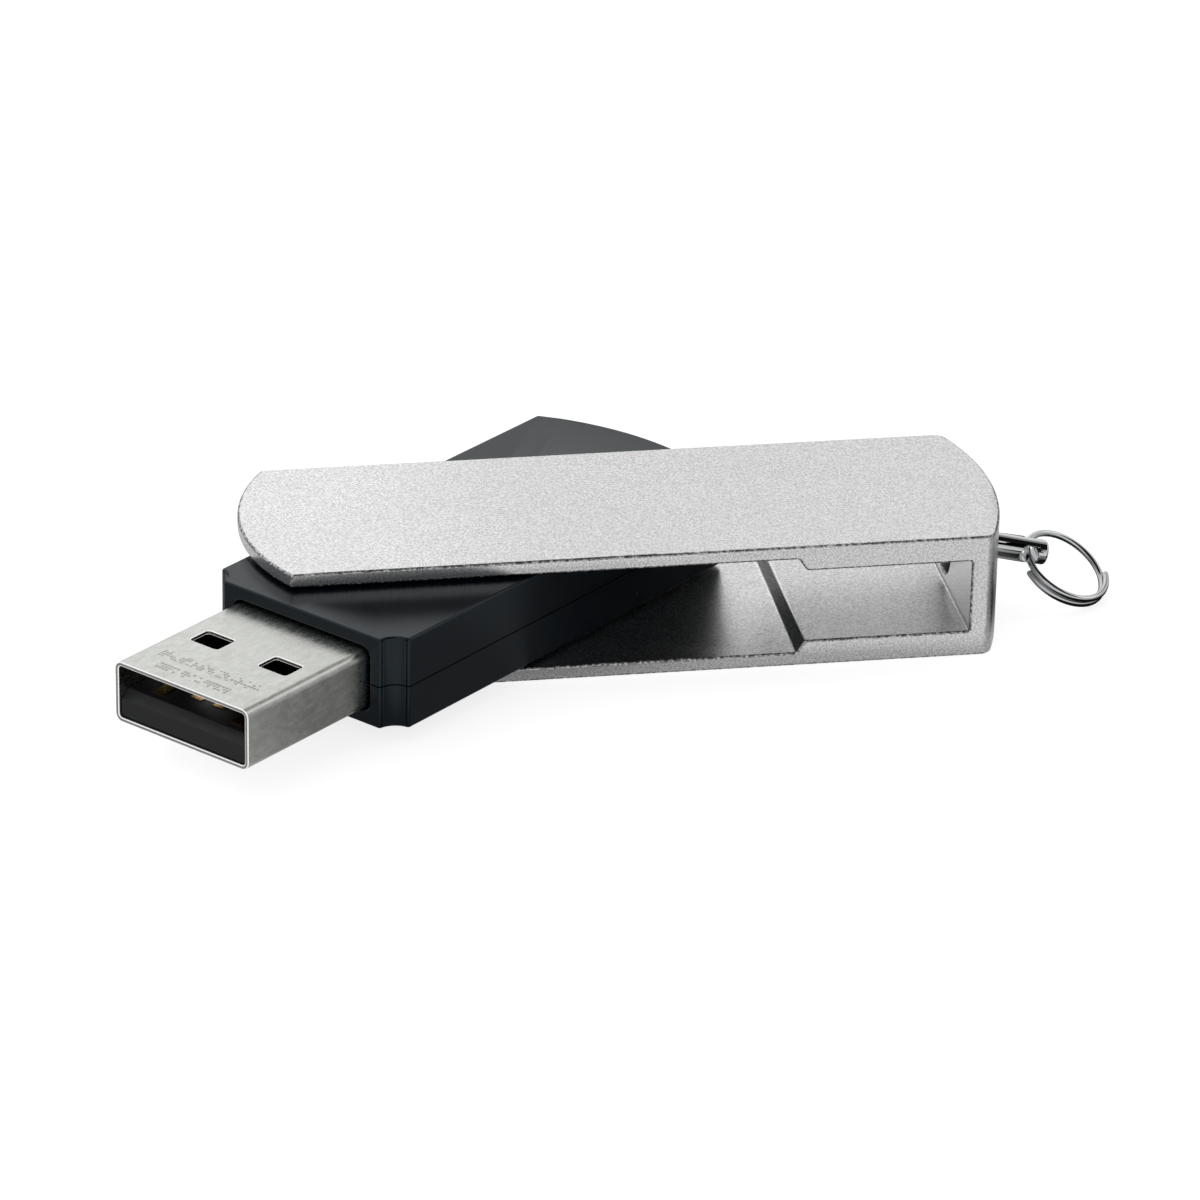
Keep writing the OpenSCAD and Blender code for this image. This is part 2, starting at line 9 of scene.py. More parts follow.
# %% Load the model and keep its box
import json
from math import atan2, cos, pi, radians, sin

import bmesh
import bpy
from mathutils import Matrix, Vector


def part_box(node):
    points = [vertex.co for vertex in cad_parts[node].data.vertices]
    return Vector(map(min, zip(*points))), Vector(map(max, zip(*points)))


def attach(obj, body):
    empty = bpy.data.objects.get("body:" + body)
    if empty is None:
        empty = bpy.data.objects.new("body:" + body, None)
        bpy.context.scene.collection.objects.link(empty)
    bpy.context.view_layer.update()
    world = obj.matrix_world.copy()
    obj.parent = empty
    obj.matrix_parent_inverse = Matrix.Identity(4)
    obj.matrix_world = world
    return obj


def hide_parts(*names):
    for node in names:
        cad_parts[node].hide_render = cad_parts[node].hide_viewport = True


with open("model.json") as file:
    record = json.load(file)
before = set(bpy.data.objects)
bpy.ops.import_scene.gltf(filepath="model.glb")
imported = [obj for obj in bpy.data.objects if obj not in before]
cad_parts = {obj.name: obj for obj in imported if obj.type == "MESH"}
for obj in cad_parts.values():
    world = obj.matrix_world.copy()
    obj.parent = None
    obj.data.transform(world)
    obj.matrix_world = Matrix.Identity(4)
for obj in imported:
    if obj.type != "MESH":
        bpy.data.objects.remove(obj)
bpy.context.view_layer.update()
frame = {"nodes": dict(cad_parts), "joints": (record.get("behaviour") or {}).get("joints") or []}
MM = 0.001
WHITE = (1, 1, 1, 1)

# %% [markdown]
# ## Where things are
#
# Joints tell us where the moving pieces turn. The drive is stored swung out of
# its cover, so whatever follows the plug needs its direction. That is the line
# from the swivel axis through the middle of the plug. The origin lies on the
# swivel axis, so the plug's middle gives the direction, and its furthest point
# along it is the rim of the mouth. Reading these from the frame, not typing
# them, keeps the looks right if the CAD sizes change.

# %% Read places and directions from the frame
JOINTS = {joint["name"]: joint for joint in frame["joints"]}


def middle(node):
    low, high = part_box(node)
    return (low + high) / 2


plug_middle = middle("plug_shell")
PLUG_WAY = Vector((plug_middle.x, plug_middle.y, 0)).normalized()
PLUG_TURN = atan2(PLUG_WAY.y, PLUG_WAY.x)
PLUG_TIP = max(vertex.co.dot(PLUG_WAY)
               for vertex in frame["nodes"]["plug_shell"].data.vertices)
PLUG_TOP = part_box("plug_shell")[1].z
SEAM_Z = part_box("lower_shell")[1].z
COVER_LOW, COVER_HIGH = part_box("cover")
RING_MIDDLE = middle("split_ring")
print("plug turned", round(PLUG_TURN * 180 / pi, 2), "degrees from the cover, reaching",
      round(PLUG_TIP / MM, 2), "mm from the axis, seam at", round(SEAM_Z / MM, 2), "mm")

# %% [markdown]
# ## The camera
#
# A long lens a little to the left and about 26 degrees above the table keeps the
# edges of the small object nearly parallel, as product pictures do. The camera
# is placed by its aim point, its distance and three angles. An aim point and
# angles are easier to adjust by eye than a matrix: each one changes one thing.

# %% Place the camera
AIM = Vector((0.0089, -0.0035, 0.0034))
DISTANCE = 0.450
LENS, SENSOR = 191.8, 36.0
YAW, PITCH, ROLL = radians(-10.07), radians(25.62), radians(1.12)

look = Vector((-sin(YAW) * cos(PITCH), cos(YAW) * cos(PITCH), -sin(PITCH)))
level = Vector((cos(YAW), sin(YAW), 0))
upright = level.cross(look)
right = cos(ROLL) * level + sin(ROLL) * upright
above = cos(ROLL) * upright - sin(ROLL) * level

camera = bpy.data.objects.new("camera", bpy.data.cameras.new("camera"))
camera.data.lens = LENS
camera.data.sensor_width = SENSOR
camera.data.clip_start, camera.data.clip_end = 0.01, 20.0
camera.matrix_world = Matrix((right, above, -look)).transposed().to_4x4()
camera.location = AIM - look * DISTANCE
bpy.context.scene.collection.objects.link(camera)
bpy.context.scene.camera = camera
print("camera at", [round(v, 4) for v in camera.location])

# %% [markdown]
# ## The studio
#
# Shiny metal shows the room more than itself, so the room is painted by
# direction. It is brightest behind and above the object, where a large lit sheet
# would hang, dark just above the camera, and dimmer at the sides near the
# table. Each patch is a round spot with a soft rim, and it blends into what is
# already there, so the later patches lie over the earlier ones. Painting by
# direction gives full control with no lamps to place, and it has no noise.

# %% Paint the room by direction
world = bpy.data.worlds.new("studio")
world.use_nodes = True
bpy.context.scene.world = world
bpy.context.scene.view_settings.view_transform = "Standard"
WORLD = world.node_tree


def room_node(kind, values=None, **settings):
    node = WORLD.nodes.new("ShaderNode" + kind)
    for name, value in settings.items():
        setattr(node, name, value)
    for name, value in (values or {}).items():
        node.inputs[name].default_value = value
    return node


def grey(value):
    return (value, value, value, 1)


ROOM = 0.62
PATCHES = (
    # what it stands for, direction, inner and outer half angle in degrees, grey
    ("lower half", (0, 0, -1), 83, 93, 0.58),
    ("table in front", (0.15, -0.90, -0.43), 25, 52, 0.80),
    ("low right side", (1.0, 0.0, -0.4), 22, 42, 0.40),
    ("low left side", (-1.0, 0.0, -0.4), 22, 42, 0.34),
    ("under the object", (0.1, -0.35, -0.93), 26, 42, 0.14),
    ("lit sheet behind", (0.0, 0.90, 0.42), 20, 58, 0.86),
    ("gap under the sheet", (-0.46, 0.89, 0.0), 8, 20, 0.12),
    ("gap beside the sheet", (0.47, 0.54, 0.70), 7, 16, 0.30),
    ("dark room above", (0.44, -0.34, 0.83), 22, 33, 0.02),
    ("small lamp", (0.82, 0.15, 0.56), 5, 13, 1.30),
)
way = room_node("TexCoord").outputs["Generated"]
glow = None
for _, direction, inner, outer, brightness in PATCHES:
    dot = room_node("VectorMath", operation="DOT_PRODUCT")
    dot.inputs[1].default_value = Vector(direction).normalized()
    WORLD.links.new(way, dot.inputs[0])
    reach = room_node("MapRange", {"From Min": cos(radians(outer)),
                                   "From Max": cos(radians(inner))},
                      interpolation_type="SMOOTHSTEP")
    WORLD.links.new(dot.outputs["Value"], reach.inputs["Value"])
    blend = room_node("Mix", data_type="RGBA")
    blend.inputs[6].default_value = grey(ROOM)
    blend.inputs[7].default_value = grey(brightness)
    WORLD.links.new(reach.outputs["Result"], blend.inputs[0])
    if glow is not None:
        WORLD.links.new(glow, blend.inputs[6])
    glow = blend.outputs[2]
WORLD.links.new(glow, WORLD.nodes["Background"].inputs["Color"])
WORLD.nodes["Background"].inputs["Strength"].default_value = 1.0
print("painted", ", ".join(patch[0] for patch in PATCHES))

# %% [markdown]
# ## Soft lights
#
# Two softboxes help the painted room. The large weak one hangs behind and to the
# left, and casts a faint shadow towards the viewer. The small one hangs low
# behind the open end of the cover, so that end mirrors it and looks brighter
# than the closed end. A near lamp can do that, and a painted room can't, because
# the room is the same from every point. Both are large or weak, so that the flat
# metal doesn't burn out in other views.

# %% Hang the softboxes
SOFTBOXES = (
    # name, place, size, power in watts
    ("key_softbox", (-0.12, 0.16, 0.16), (0.24, 0.18), 0.02),
    ("low_softbox", (-0.005, 0.142, 0.078), (0.05, 0.06), 0.0021),
)
for name, place, size, power in SOFTBOXES:
    data = bpy.data.lights.new(name, "AREA")
    data.shape = "RECTANGLE"
    data.size, data.size_y = size
    data.energy = power
    lamp = bpy.data.objects.new(name, data)
    lamp.location = place
    lamp.rotation_mode = "QUATERNION"
    lamp.rotation_quaternion = (-Vector(place)).to_track_quat("-Z", "Y")
    lamp.visible_camera = False
    bpy.context.scene.collection.objects.link(lamp)
    print(name, "hangs", round(lamp.location.length, 3), "m from the origin")

# %% [markdown]
# ## Black cards
#
# A studio puts black cards close to shiny things, just out of view, to draw dark
# bands on them. A flat one over the ring gives its chrome the contrast that makes
# it look polished. A low one stands on the near edge of the cover and paints
# shade: it darkens the part of the body's top that mirrors that edge, as the
# shade under the cover's edge would. Only reflections see the cards, and only
# from their front, so that they hardly show in the metal from behind.

# %% Cut the black cards
def black_on_one_side():
    material = bpy.data.materials.new("black_on_one_side")
    material.use_nodes = True
    nodes, links = material.node_tree.nodes, material.node_tree.links
    paint = nodes["Principled BSDF"]
    paint.inputs["Base Color"].default_value = grey(0.005)
    paint.inputs["Roughness"].default_value = 1.0
    side = nodes.new("ShaderNodeNewGeometry")
    clear = nodes.new("ShaderNodeBsdfTransparent")
    pick = nodes.new("ShaderNodeMixShader")
    links.new(side.outputs["Backfacing"], pick.inputs["Fac"])
    links.new(paint.outputs["BSDF"], pick.inputs[1])
    links.new(clear.outputs["BSDF"], pick.inputs[2])
    links.new(pick.outputs["Shader"], nodes["Material Output"].inputs["Surface"])
    return material


def card_for_reflections(name, corners, material):
    mesh = bpy.data.meshes.new(name)
    card = bmesh.new()
    card.faces.new([card.verts.new(corner) for corner in corners])
    card.to_mesh(mesh)
    card.free()
    mesh.materials.append(material)
    piece = bpy.data.objects.new(name, mesh)
    bpy.context.scene.collection.objects.link(piece)
    piece.visible_camera = piece.visible_diffuse = piece.visible_shadow = False
    print(name, "corners in mm:",
          [[round(value / MM, 1) for value in corner] for corner in corners])


BLACK_PAINT = black_on_one_side()
FLAG_CORNERS = ((-5, -9, 9), (-5, 3, 9), (8, 3, 9), (8, -9, 9))
card_for_reflections("black_flag", [RING_MIDDLE + Vector(corner) * MM
                                    for corner in FLAG_CORNERS], BLACK_PAINT)
# The edge card is painted shade: a dark sheet that the body's top mirrors, in place of the shade
# by the cover's edge.
EDGE_Y, EDGE_Z = COVER_LOW.y + 0.3 * MM, COVER_HIGH.z + 0.05 * MM
EDGE_OUTLINE = ((-12.5, 0), (12, 0), (12, 1.65), (-8, 1.65))
card_for_reflections("edge_shade_card", [Vector((along * MM, EDGE_Y, EDGE_Z + up * MM))
                                   for along, up in EDGE_OUTLINE], BLACK_PAINT)

# %% [markdown]
# ## Helpers for materials
#
# Every finish is a small node tree round one Principled BSDF. A few helpers keep
# the cells short: one adds a node with its settings, one joins two sockets, and
# the others make the patterns. Patterns read Object coordinates, so one unit of
# a texture is one metre, and a noise scale of 5000 makes grains of about a fifth
# of a millimetre.

# %% Basic material helpers
def add(material, kind, values=None, **settings):
    node = material.node_tree.nodes.new("ShaderNode" + kind)
    for name, value in settings.items():
        setattr(node, name, value)
    for name, value in (values or {}).items():
        node.inputs[name].default_value = value
    return node


def join(material, source, target):
    material.node_tree.links.new(source, target)


def new_finish(name, color, metallic, roughness):
    material = bpy.data.materials.new(name)
    material.use_nodes = True
    surface = material.node_tree.nodes["Principled BSDF"]
    surface.inputs["Base Color"].default_value = (*color, 1)
    surface.inputs["Metallic"].default_value = metallic
    surface.inputs["Roughness"].default_value = roughness
    return material, surface


print("helpers: add, join, new_finish")

# %% [markdown]
# ## Pattern helpers
#
# A pattern starts from a place on the object. The Mapping node in its Texture
# mode moves, turns and stretches the pattern as if it were a picture. Remap
# turns a noise value into the range that a socket needs, tint mixes two colours
# by it, and bump makes it dents. Both multiplies or adds two patterns.

# %% Pattern helpers
def place_on(material, stretch=(1, 1, 1), turn=0.0, centre=(0, 0, 0)):
    place = add(material, "TexCoord")
    mapping = add(material, "Mapping", {"Location": centre, "Scale": stretch,
                                        "Rotation": (0, 0, turn)}, vector_type="TEXTURE")
    join(material, place.outputs["Object"], mapping.inputs["Vector"])
    return mapping.outputs["Vector"]


def noise(material, scale, detail=2.0, rough=0.5, stretch=(1, 1, 1), turn=0.0):
    texture = add(material, "TexNoise",
                  {"Scale": scale, "Detail": detail, "Roughness": rough})
    join(material, place_on(material, stretch, turn), texture.inputs["Vector"])
    return texture.outputs["Fac"]


def remap(material, source, low, high, start=0.3, end=0.7):
    node = add(material, "MapRange", {"From Min": start, "From Max": end,
                                      "To Min": low, "To Max": high})
    join(material, source, node.inputs["Value"])
    return node.outputs["Result"]


def tint(material, amount, first, second):
    node = add(material, "Mix", data_type="RGBA")
    for socket, color in ((6, first), (7, second)):
        if isinstance(color, tuple):
            node.inputs[socket].default_value = (*color, 1)
        else:
            join(material, color, node.inputs[socket])
    join(material, amount, node.inputs[0])
    return node.outputs[2]


def bump(material, surface, height, depth, under=None):
    node = add(material, "Bump", {"Strength": 1.0, "Distance": depth})
    join(material, height, node.inputs["Height"])
    if under is not None:
        join(material, under, node.inputs["Normal"])
    join(material, node.outputs["Normal"], surface.inputs["Normal"])
    return node.outputs["Normal"]


def both(material, first, second, operation="MULTIPLY"):
    node = add(material, "Math", operation=operation)
    join(material, first, node.inputs[0])
    join(material, second, node.inputs[1])
    return node.outputs[0]


print("helpers: place_on, noise, remap, tint, bump, both")

# %% [markdown]
# ## Dust and scratches
#
# A clean surface looks like a drawing. Dust is a Voronoi pattern: each cell may
# hold one round speck, and the cell's random colour decides whether it does.
# Stretched along one direction, the same specks become short straight scratches.
# A Voronoi cell knows its own middle, so the specks stay round and apart, which
# a noise with a threshold doesn't give.

# %% Dust and scratch pattern
def marks(material, spacing, radius, share, length=1.0, turn=0.0):
    cells = add(material, "TexVoronoi", {"Scale": 1 / spacing, "Randomness": 1.0})
    join(material, place_on(material, (length, 1, length), turn),
         cells.inputs["Vector"])
    speck = remap(material, cells.outputs["Distance"], 1, 0,
                  0.5 * radius / spacing, radius / spacing)
    chance = add(material, "SeparateColor")
    join(material, cells.outputs["Color"], chance.inputs["Color"])
    return both(material, speck,
                remap(material, chance.outputs["Red"], 0, 1, 1 - share, 1.01 - share))


print("helper: marks")

# %% [markdown]
# ## Bead-blasted aluminium
#
# Blasting leaves thousands of tiny dents that scatter light, so the metal looks
# pale and sparkles a little. A fine noise makes the dents and their sparkle, and
# a broad one faint clouds in the sheen. The edges were left ragged by the saw and
# then rubbed in use, so they get a finish of their own, with dark nicks. Dents
# this small could be bumps alone, but from a distance such fine bumps average
# out, so the grain also changes the colour a little.

# %% Aluminium finishes
BLAST_GRAIN, SHEEN_CLOUDS, EDGE_NICKS = 6600, 90, 4200
SCRATCH_TURN = radians(65)


def blasted_aluminium():
    material, surface = new_finish("blasted_aluminium", (0.76, 0.76, 0.76), 1.0, 0.28)
    grain = noise(material, BLAST_GRAIN, 2.0, 0.7)
    clouds = noise(material, SHEEN_CLOUDS, 1.0)
    pale = tint(material, remap(material, grain, 0, 1, 0.38, 0.62),
                (0.58, 0.58, 0.58), (0.94, 0.94, 0.94))
    lines = marks(material, 2.4 * MM, 0.05 * MM, 0.16, 14.0, SCRATCH_TURN)
    join(material, tint(material, lines, pale, (0.44, 0.44, 0.44)),
         surface.inputs["Base Color"])
    join(material, remap(material, clouds, 0.26, 0.30), surface.inputs["Roughness"])
    bump(material, surface, grain, 0.006 * MM)
    return material


def rubbed_edge():
    material, surface = new_finish("rubbed_edge", (0.40, 0.40, 0.40), 1.0, 0.30)
    nicks = noise(material, EDGE_NICKS, 3.0, 0.7)
    join(material, tint(material, remap(material, nicks, 0, 1, 0.42, 0.60),
                        (0.16, 0.16, 0.16), (0.80, 0.80, 0.80)),
         surface.inputs["Base Color"])
    join(material, remap(material, nicks, 1, 0.2, 0.56, 0.64), surface.inputs["Metallic"])
    bump(material, surface, nicks, 0.05 * MM)
    return material


ALUMINIUM = blasted_aluminium()
RUBBED = rubbed_edge()
print("made", ALUMINIUM.name, RUBBED.name)

# %% [markdown]
# ## Black plastic
#
# The body is moulded in a black plastic with a fine satin texture. It has
# almost no colour of its own: what we see is mostly soft, slightly blue
# reflection, with dust and hairline scratches from the cover. The tongue in the
# plug is a harder, duller moulding. The blue comes from a cool specular tint, as
# a blue base alone would only show in the shade.

# %% Plastic finishes
BLACK = (0.003, 0.005, 0.008)
COOL_SHEEN = (0.74, 0.91, 1.0, 1)
LOW_SPECULAR = 0.38


def black_plastic():
    material, surface = new_finish("black_plastic", BLACK, 0.0, 0.25)
    surface.inputs["Specular Tint"].default_value = COOL_SHEEN
    surface.inputs["Specular IOR Level"].default_value = LOW_SPECULAR
    texture = noise(material, 6400, 2.0, 0.6)
    haze = noise(material, 240, 3.0, 0.6)
    specks = marks(material, 1.1 * MM, 0.045 * MM, 0.16)
    lines = marks(material, 1.6 * MM, 0.035 * MM, 0.12, 12.0, radians(-30))
    worn = tint(material, lines, BLACK, (0.09, 0.09, 0.09))
    join(material, tint(material, specks, worn, (0.20, 0.21, 0.22)),
         surface.inputs["Base Color"])
    join(material, remap(material, haze, 0.23, 0.27), surface.inputs["Roughness"])
    bump(material, surface, texture, 0.003 * MM)
    return material


def tongue_plastic():
    material, surface = new_finish("insulator_plastic", (0.010, 0.011, 0.013), 0.0, 0.38)
    haze = noise(material, 900, 3.0, 0.6)
    join(material, remap(material, haze, 0.30, 0.46), surface.inputs["Roughness"])
    bump(material, surface, haze, 0.010 * MM)
    return material


PLASTIC = black_plastic()
TONGUE = tongue_plastic()
print("made", PLASTIC.name, TONGUE.name)

# %% [markdown]
# ## A lot mark of pin dots
#
# Makers punch a lot mark into the plug with a pin. Ours spells nothing: it is
# two rows of cells of a still Voronoi grid, each on or off by its random colour.
# The rows are cut out by comparing each point's place along and across the plug,
# counted from the mouth, and only the plug's top has them. Dots in the material
# need no extra mesh, and they ride with the plug in every pose.

# %% Pin dots
DOT_PITCH = 0.29 * MM
DOT_ROWS = ((3.0 * MM, 4.4 * MM), (1.4 * MM, 3.4 * MM))  # back from the mouth, half length
DOT_SHARE = 0.56


def lot_dots(material):
    mouth = PLUG_WAY * PLUG_TIP
    place = place_on(material, (1, 1, 1), PLUG_TURN, (mouth.x, mouth.y, PLUG_TOP))
    cells = add(material, "TexVoronoi", {"Scale": 1 / DOT_PITCH, "Randomness": 0.0})
    join(material, place, cells.inputs["Vector"])
    chance = add(material, "SeparateColor")
    join(material, cells.outputs["Color"], chance.inputs["Color"])
    dots = both(material, remap(material, cells.outputs["Distance"], 1, 0, 0.22, 0.46),
                remap(material, chance.outputs["Red"], 0, 1, 1 - DOT_SHARE, 1.01 - DOT_SHARE))
    axes = add(material, "SeparateXYZ")
    join(material, place, axes.inputs["Vector"])
    rows = None
    for back, half_length in DOT_ROWS:
        along = add(material, "Math", {1: -back, 2: 1.6 * DOT_PITCH}, operation="COMPARE")
        across = add(material, "Math", {1: 0.0, 2: half_length}, operation="COMPARE")
        join(material, axes.outputs["X"], along.inputs[0])
        join(material, axes.outputs["Y"], across.inputs[0])
        row = both(material, along.outputs[0], across.outputs[0])
        rows = row if rows is None else both(material, rows, row, "ADD")
    level = add(material, "Math", {1: 0.0, 2: 0.05 * MM}, operation="COMPARE")
    join(material, axes.outputs["Z"], level.inputs[0])
    return both(material, dots, both(material, rows, level.outputs[0]))


print("pin dots in", len(DOT_ROWS), "rows,", round(DOT_PITCH / MM, 2), "mm apart")

# %% [markdown]
# ## Metals of the plug and the ring
#
# The plug is thin steel with a satin nickel plate: it was rolled, bent and
# tumbled, so its sheen is mottled and a little smudged by fingers. Its edges were
# sheared and are worn bright, and a painted highlight, a weak glow in their
# finish, keeps them bright lines round the mouth. The post and the ring are
# polished and chromed, so they only mirror the room.

# %% Steel and chrome finishes
PAINTED_EDGE_HIGHLIGHT = 0.42


def plated_steel():
    material, surface = new_finish("plated_steel", (0.66, 0.67, 0.64), 1.0, 0.26)
    mottle = noise(material, 2600, 5.0, 0.7, (2, 1, 1), PLUG_TURN)
    fine = noise(material, 6400, 3.0, 0.7)
    join(material, remap(material, mottle, 0.22, 0.32), surface.inputs["Roughness"])
    smudges = noise(material, 700, 3.0, 0.6)
    plate = tint(material, remap(material, mottle, 0, 1),
                 (0.51, 0.52, 0.49), (0.71, 0.72, 0.69))
    smudged = tint(material, remap(material, smudges, 0.35, 0, 0.30, 0.48), plate,
                   (0.45, 0.45, 0.42))
    dots = lot_dots(material)
    join(material, tint(material, remap(material, dots, 0, 0.55, 0, 1), smudged,
                        (0.20, 0.20, 0.19)), surface.inputs["Base Color"])
    pitted = bump(material, surface, remap(material, dots, 1, 0, 0, 1), 0.02 * MM)
    bump(material, surface, fine, 0.003 * MM, pitted)
    return material


def sheared_steel_with_painted_highlight():
    material, surface = new_finish("sheared_steel_with_painted_highlight", (0.96, 0.97, 0.96), 0.15, 0.45)
    # The emission is a painted highlight: a weak glow that keeps the sheared edges bright under
    # any light.
    surface.inputs["Emission Color"].default_value = WHITE
    surface.inputs["Emission Strength"].default_value = PAINTED_EDGE_HIGHLIGHT
    burrs = noise(material, 3600, 4.0, 0.7)
    join(material, tint(material, remap(material, burrs, 0, 1, 0.40, 0.60),
                        (0.88, 0.89, 0.88), (1.0, 1.0, 1.0)),
         surface.inputs["Base Color"])
    bump(material, surface, burrs, 0.02 * MM)
    return material


def chrome():
    material, surface = new_finish("polished_chrome", (0.68, 0.69, 0.70), 1.0, 0.06)
    scuffs = noise(material, 1800, 3.0, 0.6)
    join(material, remap(material, scuffs, 0.04, 0.10), surface.inputs["Roughness"])
    bump(material, surface, scuffs, 0.003 * MM)
    return material


STEEL = plated_steel()
SHEARED_WITH_HIGHLIGHT = sheared_steel_with_painted_highlight()
CHROME = chrome()
print("made", STEEL.name, SHEARED_WITH_HIGHLIGHT.name, CHROME.name)

# %% [markdown]
# ## Pieces with softened edges
#
# The CAD solids have knife-sharp edges, and no real edge is. Each visible piece
# starts as a merged copy of its CAD part, whose flat faces are joined up again.
# A Bevel modifier then rounds the marked edges, gives the new faces the last
# finish in the list, and keeps the flat faces flat. Starting from the CAD part
# keeps every size and hole where it is, and the modifier can still be changed.

# %% Piece helper
SHARP, FLAT = radians(35), radians(0.2)
WELD = 0.0005 * MM
BEVEL_STEPS = 3


def softened(node, title, body, finishes, width, weight):
    shape = bmesh.new()
    shape.from_mesh(frame["nodes"][node].data)
    bmesh.ops.remove_doubles(shape, verts=shape.verts, dist=WELD)
    bmesh.ops.dissolve_limit(shape, angle_limit=FLAT,
                             verts=shape.verts, edges=shape.edges)
    layer = shape.edges.layers.float.new("bevel_weight_edge")
    marked = 0
    for edge in shape.edges:
        if edge.is_manifold and edge.calc_face_angle() > SHARP:
            edge[layer] = weight(edge)
            marked += 1
    mesh = bpy.data.meshes.new(title)
    shape.to_mesh(mesh)
    shape.free()
    for polygon in mesh.polygons:
        polygon.use_smooth = True
    mesh.set_sharp_from_angle(angle=SHARP)
    piece = bpy.data.objects.new(title, mesh)
    bpy.context.scene.collection.objects.link(piece)
    for finish in finishes:
        mesh.materials.append(finish)
    bevel = piece.modifiers.new("soft_edges", "BEVEL")
    bevel.limit_method = "WEIGHT"
    bevel.width = width
    bevel.segments = BEVEL_STEPS
    bevel.harden_normals = True
    bevel.use_clamp_overlap = False
    bevel.material = len(finishes) - 1
    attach(piece, body)
    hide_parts(node)
    print(title, "edges rounded:", marked, "faces:", len(mesh.polygons))


# %% [markdown]
# ## Which edges
#
# Most pieces are rounded evenly. The two halves of the body meet at a thin seam,
# which would open into a groove if its edges were rounded, so those edges keep
# no weight.

# %% Which edges
SEAM_REACH = 0.2 * MM


def even(edge):
    return 1.0


def off_the_seam(edge):
    height = (edge.verts[0].co.z + edge.verts[1].co.z) / 2
    return 0.0 if abs(height - SEAM_Z) < SEAM_REACH else 1.0


print("edges within", round(SEAM_REACH / MM, 2), "mm of the seam stay sharp")

# %% [markdown]
# ## Cover, body, plug and post
#
# The cover is one length of extruded aluminium, sawn and blasted. The body's two
# halves are moulded and snapped together. The plug's sleeve is folded steel, its
# tongue is moulded, and the post that holds the ring is turned and chromed. Each
# is rounded as much as its making would: thin sheet least, moulded shells most.

# %% Cover, body, plug and post
softened("cover", "swivel_cover", "cover",
         [ALUMINIUM, RUBBED], 0.16 * MM, even)
softened("upper_shell", "body_top", "drive",
         [PLASTIC], 0.22 * MM, off_the_seam)
softened("lower_shell", "body_bottom", "drive",
         [PLASTIC], 0.22 * MM, off_the_seam)
softened("plug_shell", "plug_sleeve", "drive",
         [STEEL, SHEARED_WITH_HIGHLIGHT], 0.06 * MM, even)
softened("plug_insulator", "plug_tongue", "drive",
         [TONGUE], 0.06 * MM, even)
softened("ring_post", "ring_holder", "post",
         [CHROME], 0.10 * MM, even)

# %% [markdown]
# ## The split ring
#
# The ring is one wire wound almost one and a half times, as a screw thread is.
# A round section is placed on the wire's start and spun about the ring's axis
# while it climbs one coil's height per turn. The ends are closed and softened.
# The CAD ring is the same coil with few sides. Winding it again with many more
# gives the smooth bands that chrome shows.

# %% Wind the split ring
RING_R, WIRE_R, WIRE_SIDES = 3.2 * MM, 0.25 * MM, 20
RING_TURNS, RING_START = 1.45, radians(28)
COIL_RISE, WIRE_SAG = 0.52 * MM, 0.12 * MM
DROOP, LEAN = radians(25.3), radians(20)
SPIN_STEPS = 180
END_ROUNDING = 0.06 * MM

hole = Vector(JOINTS["ring_swing"]["pos_m"]) - Vector((0, 0, WIRE_SAG))
wire = bmesh.new()
bmesh.ops.create_circle(wire, cap_ends=False, segments=WIRE_SIDES, radius=WIRE_R)
bmesh.ops.rotate(wire, verts=wire.verts, matrix=Matrix.Rotation(radians(90), 3, "X"))
start = Vector((-RING_R, 0, COIL_RISE * (RING_START - 2 * pi) / (2 * pi)))
bmesh.ops.translate(wire, verts=wire.verts, vec=start)
bmesh.ops.rotate(wire, verts=wire.verts, matrix=Matrix.Rotation(RING_START, 3, "Z"))
bmesh.ops.spin(wire, geom=wire.verts[:] + wire.edges[:], cent=(0, 0, 0), axis=(0, 0, 1),
               angle=RING_TURNS * 2 * pi, steps=SPIN_STEPS, use_duplicate=False,
               dvec=(0, 0, COIL_RISE * RING_TURNS / SPIN_STEPS))
ends = [edge for edge in wire.edges if edge.is_boundary]
bmesh.ops.holes_fill(wire, edges=ends, sides=0)
bmesh.ops.recalc_face_normals(wire, faces=wire.faces)
bmesh.ops.bevel(wire, geom=ends, offset=END_ROUNDING, offset_type="OFFSET", segments=2,
                profile=0.5, affect="EDGES", material=-1)
print("wire:", len(wire.faces), "faces before it is hung")

# %% [markdown]
# ## Hang the ring
#
# The ring hangs through the cross hole of the post. It is moved so that its rim
# passes through the hole, tilted as it droops and leans, and then attached: it
# rides the ring's body and stands in for the CAD ring.

# %% Hang the ring
bmesh.ops.translate(wire, verts=wire.verts, vec=(RING_R, 0, 0))
bmesh.ops.rotate(wire, verts=wire.verts,
                 matrix=Matrix.Rotation(DROOP, 3, "Y") @ Matrix.Rotation(LEAN, 3, "X"))
bmesh.ops.translate(wire, verts=wire.verts, vec=hole)
ring_mesh = bpy.data.meshes.new("key_ring")
wire.to_mesh(ring_mesh)
wire.free()
for polygon in ring_mesh.polygons:
    polygon.use_smooth = True
ring_mesh.materials.append(CHROME)
ring = bpy.data.objects.new("key_ring", ring_mesh)
bpy.context.scene.collection.objects.link(ring)
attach(ring, "ring")
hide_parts("split_ring")

# %% [markdown]
# ## The table
#
# The object lies on a plain white table. The table glows a little, so that it
# stays white and the shadow faint. It is hidden from reflections, which see the
# painted room instead. A white sheet lit only by lamps would need them so strong
# that the metal would burn out.

# %% Lay the table
TABLE_HALF, TABLE_PAINT, TABLE_GLOW = 6.0, (0.55, 0.55, 0.55), 0.80

